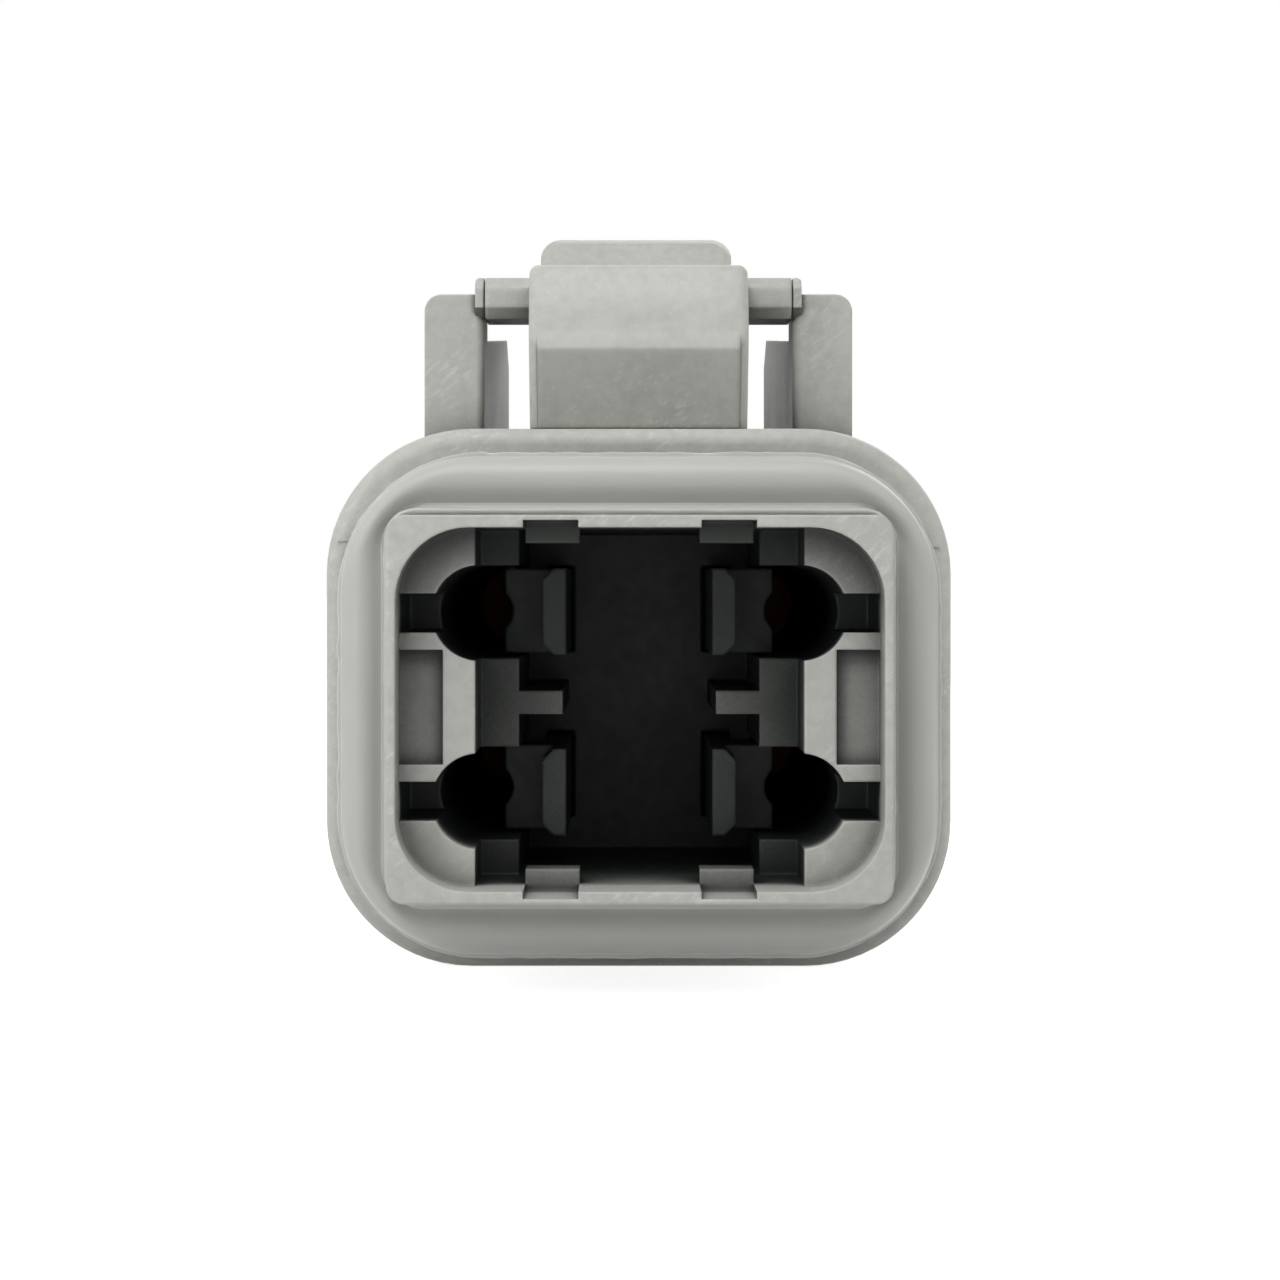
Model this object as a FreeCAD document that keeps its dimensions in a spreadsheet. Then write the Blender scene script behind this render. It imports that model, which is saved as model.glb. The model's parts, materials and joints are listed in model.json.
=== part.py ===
import FreeCAD, Part
import math
import os
import re
import Sketcher
from FreeCAD import Vector

# Sealed rectangular plug for four socket contacts, sold with its cavities empty.
# X runs to the right and Z up when the mating face is looked at, Y runs to the wires.
# The origin is under the middle of the part, on the plane that it rests on.

# Name, size in mm and what it is.
sizeRows = [
    ("overall_length", 34.8, "mating face to rear face"),
    ("nose_reach", 6.8, "nose in front of the flange"),
    ("nose_width", 11.7, "outside of the nose"),
    ("nose_height", 8.98, "outside of the nose"),
    ("nose_corner", 0.4, "outer corner of the nose"),
    ("rim_side", 0.2, "thin wall of the nose, left and right"),
    ("rim_top", 0.29, "thin wall of the nose, above and below"),
    ("rim_corner", 1.7, "inner corner of the rim"),
    ("rim_depth", 1.3, "mating face to the plateaus"),
    ("step_depth", 2.7, "plateaus to the step faces and ribs"),
    ("bay_depth", 7.3, "step faces to the floor of the finger bays"),
    ("plateau_offset", 0.11, "inner edge of a plateau outside the contact axis"),
    ("bay_side_gap", 0.56, "finger to the side wall of its bay"),
    ("rib_setback", 0.08, "end of a middle rib behind the finger's inner face"),
    ("rib_height", 0.57, "middle ribs between upper and lower bays"),
    ("cavity_pitch", 7.52, "contact axes, left to right"),
    ("row_pitch", 4.42, "contact axes, upper to lower"),
    ("cavity_radius", 1.13, "contact cavity in front"),
    ("barrel_radius", 1.2, "contact cavity behind the fingers"),
    ("key_slot_height", 0.92, "slot that runs outward from a cavity"),
    ("key_slot_depth", 3.5, "behind the plateau"),
    ("mark_reach", 1.03, "shallow pocket, in from the rim"),
    ("mark_height", 2.7, "shallow pocket"),
    ("mark_depth", 0.3, "shallow pocket"),
    ("notch_inner", 1.42, "wedge notch, near side from the middle"),
    ("notch_width", 1.28, "wedge notch"),
    ("notch_depth", 0.17, "cut into the rim"),
    ("catch_height", 0.34, "catch for the wedge, up from the wall"),
    ("catch_start", 0.6, "behind the plateau"),
    ("catch_length", 1.0, "along the wedge"),
    ("flange_width", 15.88, "widest part"),
    ("flange_height", 13.67, "rests on its lower side"),
    ("flange_corner", 3.7, "outer corner"),
    ("flange_thickness", 2.2, "front to back"),
    ("flange_round", 0.4, "front outer edge"),
    ("flange_rear_chamfer", 0.25, "rear outer edge"),
    ("shell_width", 14.2, "behind the flange"),
    ("shell_height", 12.4, "behind the flange"),
    ("shell_corner", 3.1, "outer corner"),
    ("shell_wall", 1.1, "round the seal chamber"),
    ("chamber_depth", 6.8, "from the rear end of the shell"),
    ("cap_thickness", 1.8, "rear plate of the seal retainer"),
    ("cap_width", 15.0, "rear plate"),
    ("cap_corner", 3.5, "rear plate"),
    ("cap_chamfer", 0.35, "rear edge"),
    ("plug_length", 1.4, "retainer inside the chamber"),
    ("wire_entry_radius", 1.45, "holes of the retainer"),
    ("wire_entry_chamfer", 0.3, "mouths of the holes"),
    ("part_clearance", 0.05, "between pieces that sit in each other"),
    ("wire_hole_radius", 0.45, "inner rings of the wire seal"),
    ("wire_groove_radius", 1.05, "between the inner rings"),
    ("wire_ring_length", 1.4, "one ring of the wire seal"),
    ("seal_rib_height", 0.3, "outer rings of the wire seal"),
    ("seal_side", 1.25, "interface seal out from the nose, left and right"),
    ("seal_top", 1.425, "interface seal out from the nose, above and below"),
    ("seal_corner", 3.2, "outer corner of the interface seal"),
    ("seal_reach", 5.4, "interface seal in front of the flange"),
    ("bead_length", 0.95, "one bead of the interface seal, along the nose"),
    ("bead_chamfer", 0.3, "outer edges of a bead"),
    ("bead_pitch", 1.4, "from bead to bead"),
    ("bead_height", 0.72, "beads above the sleeve"),
    ("lip_thickness", 0.16, "front lip that hugs the nose"),
    ("lip_length", 0.6, "front lip"),
    ("rail_inner", 4.07, "inner face of a guard rail from the middle"),
    ("rail_thickness", 1.56, "guard rail"),
    ("rail_front", 3.0, "behind the front of the flange"),
    ("rail_post_length", 2.1, "post that carries the torsion bar"),
    ("rail_length", 16.6, "whole rail"),
    ("rail_height", 17.34, "top of the post"),
    ("rail_dip", 1.06, "relief behind the post"),
    ("rail_round", 0.45, "outer top edge"),
    ("rail_inner_round", 0.2, "inner front edge"),
    ("bar_front", 2.8, "torsion bar behind the front of the flange"),
    ("bar_depth", 2.1, "torsion bar"),
    ("bar_thickness", 1.08, "torsion bar"),
    ("bar_rise", 0.44, "torsion bar above the post"),
    ("bar_chamfer", 0.28, "front edges of the torsion bar"),
    ("knuckle_width", 0.22, "end block of the bar on a rail"),
    ("knuckle_round", 0.12, "upper corner of the end block"),
    ("bar_gap", 0.04, "bar end to rail, where the real bar is moulded on and twists"),
    ("latch_side_gap", 1.28, "latch to rail"),
    ("side_round_share", 0.0573, "long outer edges, of the plate's height"),
    ("latch_wall", 1.3, "thickness of the latch"),
    ("foot_gap", 0.04, "latch foot above the flange"),
    ("foot_front", 0.8, "front of the foot behind the front of the flange"),
    ("beak_reach", 0.15, "beak in front of the flange"),
    ("beak_share", 0.533, "height of the beak between the flange and the front top edge"),
    ("beak_wall", 1.55, "thickness behind the beak"),
    ("beak_round_share", 0.119, "front of the beak, of the plate's height"),
    ("panel_rise", 0.1, "raised panel below the beak"),
    ("panel_side_gap", 0.22, "raised panel to the side of the latch"),
    ("bend_share", 0.55, "height of the bend between the beak and the front top edge"),
    ("bend_lean", 0.24, "bend behind the beak"),
    ("bend_round_share", 0.477, "bend of the upper plate, of the plate's height"),
    ("front_rise", 0.52, "front top edge above the posts"),
    ("front_lean", 0.75, "front top edge behind the beak"),
    ("front_round", 0.25, "front top edge"),
    ("arm_rise", 0.3, "arm behind the bar above the front top edge"),
    ("arm_end", 20.6, "arm turns up to the thumb ridge"),
    ("arm_end_rise", 1.3, "above the posts"),
    ("thumb_start", 16.6, "arm widens to the thumb pad"),
    ("thumb_start_rise", 1.0, "above the posts"),
    ("thumb_side_gap", 0.94, "thumb pad to rail line"),
    ("ridge_start", 22.9, "crest of the thumb ridge"),
    ("ridge_length", 1.5, "crest of the thumb ridge"),
    ("ridge_rise", 3.74, "above the posts"),
    ("ridge_corner", 0.67, "top corners of the thumb ridge"),
    ("ridge_chamfer", 0.22, "crest edges"),
    ("heel_round", 0.5, "lower rear edge of the thumb ridge"),
    ("finger_inner", 1.79, "inner face of a locking finger from the middle"),
    ("finger_thickness", 0.58, "beam of the finger"),
    ("finger_height", 2.12, "beam of the finger"),
    ("finger_setback", 0.2, "tip behind the step faces"),
    ("finger_chamfer", 0.28, "long corners that face the contact"),
    ("barb_gap", 0.4, "barb short of the contact axis"),
    ("barb_start", 2.0, "behind the finger tip"),
    ("barb_length", 1.1, "flat of the barb"),
    ("barb_ramp", 1.5, "slope that a contact pushes aside"),
    ("seat_radius", 0.6, "hollow of the barb round the contact"),
    ("root_length", 1.0, "finger root inside the housing"),
    ("root_gap", 0.08, "between finger root and its seat"),
]

# Places that several pieces share.
middle = "flange_height / 2"
noseTip = "-overall_length / 2"
flangeFace = "(-overall_length / 2 + nose_reach)"
plateau = "(-overall_length / 2 + rim_depth)"
stepFace = "(-overall_length / 2 + rim_depth + step_depth)"
bayFloor = "(-overall_length / 2 + rim_depth + step_depth + bay_depth)"
shellEnd = "(overall_length / 2 - cap_thickness)"
chamberFloor = "(overall_length / 2 - cap_thickness - chamber_depth)"
openingWidth = "(nose_width - 2 * rim_side)"
openingHeight = "(nose_height - 2 * rim_top)"
fingerOuter = "(finger_inner + finger_thickness)"
chamberWidth = "(shell_width - 2 * shell_wall)"
chamberHeight = "(shell_height - 2 * shell_wall)"
chamberCorner = "(shell_corner - shell_wall)"
barBottom = "(rail_height + bar_rise - bar_thickness)"
barTop = "(rail_height + bar_rise)"
barFront = flangeFace + " + bar_front"
barRear = flangeFace + " + bar_front + bar_depth"
latchFoot = "(flange_height + foot_gap)"
footFront = flangeFace + " + foot_front"
beakFront = flangeFace + " - beak_reach"
latchTop = "(rail_height + front_rise)"
plateHeight = "(rail_height + front_rise - flange_height)"
beakHeight = "(flange_height + beak_share * %s)" % plateHeight
beakRadius = "(beak_round_share * %s)" % plateHeight
bendHeight = "(%s + bend_share * (%s - %s))" % (beakHeight, latchTop, beakHeight)
thumbStart = (flangeFace + " + thumb_start", "rail_height + thumb_start_rise")
armEnd = (flangeFace + " + arm_end", "rail_height + arm_end_rise")
ridgeRear = flangeFace + " + ridge_start + ridge_length"
opposite = {"+": "-", "-": "+"}

doc = FreeCAD.newDocument("SealedPlug")
sheet = doc.addObject("Spreadsheet::Sheet", "Sizes")
for row, (name, number, note) in enumerate(sizeRows, start=1):
    sheet.set("A%d" % row, name)
    sheet.set("B%d" % row, str(number))
    sheet.set("C%d" % row, note)
    sheet.setAlias("B%d" % row, name)
doc.recompute()


def bound(text):
    return re.sub(r"\b([a-z]+(?:_[a-z]+)+)\b", r"Sizes.\1", text)


def value(text):
    return float(sheet.evalExpression(text))


def newBody(label):
    body = doc.addObject("PartDesign::Body", label)
    body.Label = label
    return body


def originPlane(body, role):
    return [item for item in body.Origin.OriginFeatures if item.Role == role][0]


def newSketch(body, name, role, offset):
    sketch = body.newObject("Sketcher::SketchObject", name)
    sketch.AttachmentSupport = [(originPlane(body, role), "")]
    sketch.MapMode = "FlatFace"
    sketch.setExpression("AttachmentOffset.Base.z", bound(offset))
    return sketch


# A front sketch has X and Z as its axes and lies at a given Y.
def frontSketch(body, name, y):
    return newSketch(body, name, "XZ_Plane", "-(" + y + ")")


# A side sketch has Y and Z as its axes and lies at a given X.
def sideSketch(body, name, x="0"):
    return newSketch(body, name, "YZ_Plane", x)


# A top sketch has X and Y as its axes and lies at a given Z.
def topSketch(body, name, z):
    return newSketch(body, name, "XY_Plane", z)


def bindConstraint(sketch, constraint, text):
    index = sketch.addConstraint(constraint)
    name = "size%d" % index
    sketch.renameConstraint(index, name)
    sketch.setExpression("Constraints." + name, bound(text))


# Holds one point of a sketch at its distance from the origin.
def pin(sketch, kind, item, point, text):
    bindConstraint(sketch, Sketcher.Constraint(kind, -1, 1, item, point, value(text)), text)


def drawPolygon(sketch, corners):
    first = sketch.GeometryCount
    count = len(corners)
    points = [Vector(value(x), value(y), 0) for x, y in corners]
    for index in range(count):
        sketch.addGeometry(Part.LineSegment(points[index], points[(index + 1) % count]), False)
    for index in range(count):
        following = first + (index + 1) % count
        sketch.addConstraint(Sketcher.Constraint("Coincident", first + index, 2, following, 1))
    for index, (x, y) in enumerate(corners):
        pin(sketch, "DistanceX", first + index, 1, x)
        pin(sketch, "DistanceY", first + index, 1, y)


def drawBox(sketch, left, right, low, high):
    drawPolygon(sketch, [(left, low), (right, low), (right, high), (left, high)])


def drawCircle(sketch, x, y, radius):
    circle = Part.Circle(Vector(value(x), value(y), 0), Vector(0, 0, 1), value(radius))
    item = sketch.addGeometry(circle, False)
    pin(sketch, "DistanceX", item, 3, x)
    pin(sketch, "DistanceY", item, 3, y)
    bindConstraint(sketch, Sketcher.Constraint("Radius", item, value(radius)), radius)


# A rectangle with round corners about X = 0 and the middle height of the part.
def drawRoundedBox(sketch, width, height, corner):
    halfWidth = value(width) / 2
    halfHeight = value(height) / 2
    radius = value(corner)
    heart = value(middle)
    insetX = halfWidth - radius
    insetZ = halfHeight - radius
    sides = [
        (-insetX, -halfHeight, insetX, -halfHeight),
        (halfWidth, -insetZ, halfWidth, insetZ),
        (insetX, halfHeight, -insetX, halfHeight),
        (-halfWidth, insetZ, -halfWidth, -insetZ),
    ]
    centres = [(insetX, -insetZ), (insetX, insetZ), (-insetX, insetZ), (-insetX, -insetZ)]
    first = sketch.GeometryCount
    for number, (x1, z1, x2, z2) in enumerate(sides):
        start = Vector(x1, heart + z1, 0)
        end = Vector(x2, heart + z2, 0)
        sketch.addGeometry(Part.LineSegment(start, end), False)
        centre = Vector(centres[number][0], heart + centres[number][1], 0)
        begin = (number - 1) * math.pi / 2
        arc = Part.ArcOfCircle(Part.Circle(centre, Vector(0, 0, 1), radius), begin, begin + math.pi / 2)
        sketch.addGeometry(arc, False)
    for number in range(8):
        following = first + (number + 1) % 8
        sketch.addConstraint(Sketcher.Constraint("Tangent", first + number, 2, following, 1))
    for number, kind in ((0, "Horizontal"), (2, "Vertical"), (4, "Horizontal"), (6, "Vertical")):
        sketch.addConstraint(Sketcher.Constraint(kind, first + number))
    for number in (3, 5, 7):
        sketch.addConstraint(Sketcher.Constraint("Equal", first + 1, first + number))
    bindConstraint(sketch, Sketcher.Constraint("Radius", first + 1, radius), corner)
    pin(sketch, "DistanceX", first + 2, 1, width + " / 2")
    pin(sketch, "DistanceX", first + 6, 1, "-" + width + " / 2")
    pin(sketch, "DistanceY", first, 1, middle + " - " + height + " / 2")
    pin(sketch, "DistanceY", first + 4, 1, middle + " + " + height + " / 2")


# Pads and pockets of front sketches run rearward unless they are turned to the front.
def addFeature(body, kind, sketch, length, reverse, symmetric):
    feature = body.newObject("PartDesign::" + kind, sketch.Name + "_" + kind.lower())
    feature.Profile = sketch
    feature.setExpression("Length", bound(length))
    feature.Reversed = reverse
    if symmetric:
        feature.SideType = "Symmetric"
    body.Tip = feature
    return feature


def padRearward(body, sketch, length):
    return addFeature(body, "Pad", sketch, length, True, False)


def padForward(body, sketch, length):
    return addFeature(body, "Pad", sketch, length, False, False)


def padBothWays(body, sketch, length):
    return addFeature(body, "Pad", sketch, length, False, True)


def cutRearward(body, sketch, length):
    return addFeature(body, "Pocket", sketch, length, False, False)


def cutForward(body, sketch, length):
    return addFeature(body, "Pocket", sketch, length, True, False)


def mirrorToLeft(body, features):
    mirror = body.newObject("PartDesign::Mirrored", "left_side")
    mirror.Originals = features
    mirror.MirrorPlane = (originPlane(body, "YZ_Plane"), [""])
    body.Tip = mirror
    return mirror


# Fillets or chamfers the edges of the body's tip that the test picks by their box.
def dressEdges(body, kind, name, size, wanted):
    doc.recompute()
    base = body.Tip
    names = []
    for number, edge in enumerate(base.Shape.Edges, start=1):
        if wanted(edge.BoundBox):
            names.append("Edge%d" % number)
    feature = body.newObject("PartDesign::" + kind, name)
    feature.Base = (base, names)
    feature.setExpression("Radius" if kind == "Fillet" else "Size", bound(size))
    body.Tip = feature
    doc.recompute()


def same(first, second):
    return abs(first - second) < 0.005


def sameSpan(low, high, place):
    return same(low, place) and same(high, place)


# Height of the upper (+) or lower (-) row of contacts.
def rowHeight(sign):
    return "%s %s row_pitch / 2" % (middle, sign)


def drawCavityCircles(sketch, radius):
    for side in ("", "-"):
        for sign in ("+", "-"):
            drawCircle(sketch, side + "cavity_pitch / 2", rowHeight(sign), radius)


# Shell, nose and flange with its rounded front edge.
def addHousingOutside(body):
    shell = frontSketch(body, "shell", flangeFace)
    drawRoundedBox(shell, "shell_width", "shell_height", "shell_corner")
    padRearward(body, shell, "%s - %s" % (shellEnd, flangeFace))
    nose = frontSketch(body, "nose", noseTip)
    drawRoundedBox(nose, "nose_width", "nose_height", "nose_corner")
    padRearward(body, nose, "nose_reach")
    flange = frontSketch(body, "flange", flangeFace)
    drawRoundedBox(flange, "flange_width", "flange_height", "flange_corner")
    padRearward(body, flange, "flange_thickness")
    halfWidth = value("shell_width") / 2
    halfHeight = value("shell_height") / 2
    heart = value(middle)

    # Outer edges only: the shell's and the nose's outlines lie on the same planes.
    def isOuter(box):
        wide = box.XMax > halfWidth + 0.1 or box.XMin < -halfWidth - 0.1
        return wide or box.ZMax > heart + halfHeight + 0.1 or box.ZMin < heart - halfHeight - 0.1

    front = value(flangeFace)
    rear = value(flangeFace + " + flange_thickness")
    dressEdges(body, "Fillet", "flange_front_edge", "flange_round",
               lambda box: sameSpan(box.YMin, box.YMax, front) and isOuter(box))
    dressEdges(body, "Chamfer", "flange_rear_edge", "flange_rear_chamfer",
               lambda box: sameSpan(box.YMin, box.YMax, rear) and isOuter(box))


# Section of the torsion bar, with chamfered front edges.
def drawBarSection(sketch):
    drawPolygon(sketch, [
        (barFront, barBottom + " + bar_chamfer"),
        (barFront + " + bar_chamfer", barBottom),
        (barRear, barBottom),
        (barRear, barTop),
        (barFront + " + bar_chamfer", barTop),
        (barFront, barTop + " - bar_chamfer"),
    ])


# Guard rails: post, relief behind it, sloping top and the block that the torsion bar ends at.
def addGuardRails(body):
    rail = sideSketch(body, "rail", "rail_inner")
    start = flangeFace + " + rail_front"
    foot = middle + " + shell_height / 2 - shell_wall"
    drawPolygon(rail, [
        (start, foot),
        (start, "rail_height"),
        (start + " + rail_post_length", "rail_height"),
        (start + " + rail_post_length", "rail_height - rail_dip"),
        (start + " + rail_length - rail_thickness", "rail_height"),
        (start + " + rail_length", "rail_height - rail_thickness / 2"),
        (start + " + rail_length", foot),
    ])
    railPad = padForward(body, rail, "rail_thickness")
    knuckle = sideSketch(body, "knuckle", "rail_inner")
    drawBarSection(knuckle)
    knucklePad = padForward(body, knuckle, "knuckle_width")
    mirrorToLeft(body, [railPad, knucklePad])
    outer = value("rail_inner + rail_thickness")
    inner = value("rail_inner")
    front = value(start)
    relief = value("rail_height - rail_dip")
    top = value("rail_height")
    blockSide = value("rail_inner + knuckle_width")
    blockTop = value(barTop)

    def isBlockCorner(box):
        atSide = sameSpan(box.XMin, box.XMax, blockSide) or sameSpan(box.XMin, box.XMax, -blockSide)
        return atSide and sameSpan(box.ZMin, box.ZMax, blockTop)

    def isOuterTop(box):
        atSide = sameSpan(box.XMin, box.XMax, outer) or sameSpan(box.XMin, box.XMax, -outer)
        return atSide and box.ZMax > relief and box.ZMin > relief - 0.01

    def isInnerFront(box):
        atSide = sameSpan(box.XMin, box.XMax, inner) or sameSpan(box.XMin, box.XMax, -inner)
        return atSide and sameSpan(box.YMin, box.YMax, front) and box.ZMax < top

    dressEdges(body, "Fillet", "rail_outer_edges", "rail_round", isOuterTop)
    dressEdges(body, "Fillet", "rail_inner_edges", "rail_inner_round", isInnerFront)
    dressEdges(body, "Fillet", "knuckle_corners", "knuckle_round", isBlockCorner)


# Rim, recess between the plateaus and the finger bays with the two middle ribs.
def cutMatingFace(body):
    low = "%s - %s / 2" % (middle, openingHeight)
    high = "%s + %s / 2" % (middle, openingHeight)
    opening = frontSketch(body, "opening", noseTip)
    drawRoundedBox(opening, openingWidth, openingHeight, "rim_corner")
    cutRearward(body, opening, "rim_depth")
    recess = frontSketch(body, "recess", plateau)
    edge = "(cavity_pitch / 2 + plateau_offset)"
    drawBox(recess, "-" + edge, edge, low, high)
    cutRearward(body, recess, "step_depth")
    wall = "(%s + bay_side_gap)" % fingerOuter
    ribEnd = "(finger_inner + rib_setback)"
    ribLow = middle + " - rib_height / 2"
    ribHigh = middle + " + rib_height / 2"
    bay = frontSketch(body, "bay", stepFace)
    drawPolygon(bay, [
        ("-" + wall, low), (wall, low), (wall, ribLow), (ribEnd, ribLow),
        (ribEnd, ribHigh), (wall, ribHigh), (wall, high), ("-" + wall, high),
        ("-" + wall, ribHigh), ("-" + ribEnd, ribHigh), ("-" + ribEnd, ribLow), ("-" + wall, ribLow),
    ])
    cutRearward(body, bay, "bay_depth")


# Contact cavities, open to the finger bays on their inner side, with outward slots.
def cutCavities(body):
    frontLength = "%s - %s" % (bayFloor, plateau)
    cavity = frontSketch(body, "cavity", plateau)
    drawCavityCircles(cavity, "cavity_radius")
    cutRearward(body, cavity, frontLength)
    barrel = frontSketch(body, "barrel", bayFloor)
    drawCavityCircles(barrel, "barrel_radius")
    cutRearward(body, barrel, "%s - %s" % (chamberFloor, bayFloor))
    passage = frontSketch(body, "passage", plateau)
    slot = frontSketch(body, "key_slot", plateau)
    mark = frontSketch(body, "mark", plateau)
    for side in ("", "-"):
        axis = side + "cavity_pitch / 2"
        rim = side + openingWidth + " / 2"
        for sign in ("+", "-"):
            row = rowHeight(sign)
            drawBox(passage, side + "finger_inner", axis, row + " - cavity_radius", row + " + cavity_radius")
            drawBox(slot, axis, rim, row + " - key_slot_height / 2", row + " + key_slot_height / 2")
        pocketEdge = "%s(%s / 2 - mark_reach)" % (side, openingWidth)
        drawBox(mark, pocketEdge, rim, middle + " - mark_height / 2", middle + " + mark_height / 2")
    cutRearward(body, passage, frontLength)
    cutRearward(body, slot, "key_slot_depth")
    cutRearward(body, mark, "mark_depth")


# Notches and catches that take the latches of a wedge.
def addWedgeCatches(body):
    notch = frontSketch(body, "notch", noseTip)
    catch = frontSketch(body, "catch", plateau + " + catch_start")
    for side in ("", "-"):
        near = side + "notch_inner"
        far = side + "(notch_inner + notch_width)"
        for sign in ("+", "-"):
            wall = "%s %s %s / 2" % (middle, sign, openingHeight)
            into = "%s %s notch_depth" % (wall, sign)
            back = opposite[sign]
            drawBox(notch, near, far, into, "%s %s notch_depth" % (wall, back))
            drawBox(catch, near, far, into, "%s %s catch_height" % (wall, back))
    cutRearward(body, notch, "rim_depth + catch_start")
    padRearward(body, catch, "catch_length")


# Seats in the bay floor for the roots of the four locking fingers.
def cutFingerSeats(body):
    seat = frontSketch(body, "finger_seat", bayFloor)
    half = "(finger_height / 2 + root_gap)"
    for side in ("", "-"):
        for sign in ("+", "-"):
            row = rowHeight(sign)
            drawBox(seat, side + "(finger_inner - root_gap)", side + "(%s + root_gap)" % fingerOuter,
                    row + " - " + half, row + " + " + half)
    cutRearward(body, seat, "root_length + root_gap")


def makeHousing():
    body = newBody("housing")
    addHousingOutside(body)
    addGuardRails(body)
    cutMatingFace(body)
    cutCavities(body)
    addWedgeCatches(body)
    cutFingerSeats(body)
    chamber = frontSketch(body, "chamber", shellEnd)
    drawRoundedBox(chamber, chamberWidth, chamberHeight, chamberCorner)
    cutForward(body, chamber, "chamber_depth")
    return body


# Side profile of the front plate and the arm: foot, beak and arm up to the thumb pad.
def drawPlateProfile(sketch):
    drawPolygon(sketch, [
        (footFront, latchFoot),
        (beakFront, beakHeight),
        (beakFront + " + bend_lean", bendHeight),
        (beakFront + " + front_lean", latchTop),
        (barRear, latchTop + " + arm_rise"),
        thumbStart,
        (thumbStart[0], thumbStart[1] + " - latch_wall"),
        (barRear, barBottom),
        (barFront, barBottom),
        (beakFront + " + beak_wall", beakHeight),
        (footFront + " + latch_wall", latchFoot),
    ])


# Side profile of the raised panel on the lower half of the front plate.
def drawPanelProfile(sketch):
    drawPolygon(sketch, [
        (footFront + " - panel_rise", latchFoot),
        (beakFront + " - panel_rise", beakHeight + " - %s / 2" % beakRadius),
        (beakFront, beakHeight + " + %s / 4" % beakRadius),
        (beakFront + " + latch_wall / 2", beakHeight + " + %s / 4" % beakRadius),
        (footFront + " + latch_wall / 2", latchFoot),
    ])


# Side profile of the thumb pad and its ridge.
def drawThumbProfile(sketch):
    ridge = "rail_height + ridge_rise"
    drawPolygon(sketch, [
        thumbStart,
        armEnd,
        (flangeFace + " + ridge_start", ridge),
        (ridgeRear, ridge),
        (ridgeRear, armEnd[1]),
        (armEnd[0], armEnd[1] + " - latch_wall"),
        (thumbStart[0], thumbStart[1] + " - latch_wall"),
    ])


# Rounds the front of the latch plate: beak, bend, top edge and both sides up to the bar.
def roundLatchPlate(body):
    halfWidth = value("rail_inner - latch_side_gap")
    beakY = value(beakFront)
    beakZ = value(beakHeight)
    bendY = value(beakFront + " + bend_lean")
    bendZ = value(bendHeight)
    topY = value(beakFront + " + front_lean")
    topZ = value(latchTop)
    frontEnd = topY + value("front_round")
    barY = value(barRear)

    def isBeak(box):
        return sameSpan(box.YMin, box.YMax, beakY) and sameSpan(box.ZMin, box.ZMax, beakZ)

    def isBend(box):
        return sameSpan(box.YMin, box.YMax, bendY) and sameSpan(box.ZMin, box.ZMax, bendZ)

    def isFrontTop(box):
        return sameSpan(box.YMin, box.YMax, topY) and sameSpan(box.ZMin, box.ZMax, topZ)

    def isPlateSide(box):
        atSide = sameSpan(box.XMin, box.XMax, halfWidth) or sameSpan(box.XMin, box.XMax, -halfWidth)
        topRun = same(box.YMax, barY) and box.ZMin > topZ - 0.3
        return atSide and (box.YMax < frontEnd or topRun)

    dressEdges(body, "Fillet", "beak_edge", beakRadius, isBeak)
    dressEdges(body, "Fillet", "upper_bend", "bend_round_share * " + plateHeight, isBend)
    dressEdges(body, "Fillet", "front_top_edge", "front_round", isFrontTop)
    dressEdges(body, "Fillet", "plate_sides", "side_round_share * " + plateHeight, isPlateSide)


# Rounds the thumb pad: ridge corners, heel and the edges that run from them.
def roundThumb(body):
    halfWidth = value("rail_inner - thumb_side_gap")
    ridgeZ = value("rail_height + ridge_rise")
    heelY = value(ridgeRear)
    heelZ = value(armEnd[1])

    def isRidgeCorner(box):
        atSide = sameSpan(box.XMin, box.XMax, halfWidth) or sameSpan(box.XMin, box.XMax, -halfWidth)
        return atSide and sameSpan(box.ZMin, box.ZMax, ridgeZ)

    def isRidgeEdge(box):
        return sameSpan(box.ZMin, box.ZMax, ridgeZ) and box.XLength > halfWidth

    def isHeel(box):
        return sameSpan(box.YMin, box.YMax, heelY) and sameSpan(box.ZMin, box.ZMax, heelZ)

    dressEdges(body, "Fillet", "ridge_corners", "ridge_corner", isRidgeCorner)
    dressEdges(body, "Fillet", "heel", "heel_round", isHeel)
    dressEdges(body, "Chamfer", "ridge_edges", "ridge_chamfer", isRidgeEdge)


def makeLatch():
    body = newBody("latch")
    profile = sideSketch(body, "profile")
    drawPlateProfile(profile)
    padBothWays(body, profile, "2 * (rail_inner - latch_side_gap)")
    roundLatchPlate(body)
    panel = sideSketch(body, "panel")
    drawPanelProfile(panel)
    padBothWays(body, panel, "2 * (rail_inner - latch_side_gap - panel_side_gap)")
    thumb = sideSketch(body, "thumb")
    drawThumbProfile(thumb)
    padBothWays(body, thumb, "2 * (rail_inner - thumb_side_gap)")
    roundThumb(body)
    bar = sideSketch(body, "bar")
    drawBarSection(bar)
    padBothWays(body, bar, "2 * (rail_inner - bar_gap)")
    return body


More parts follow.
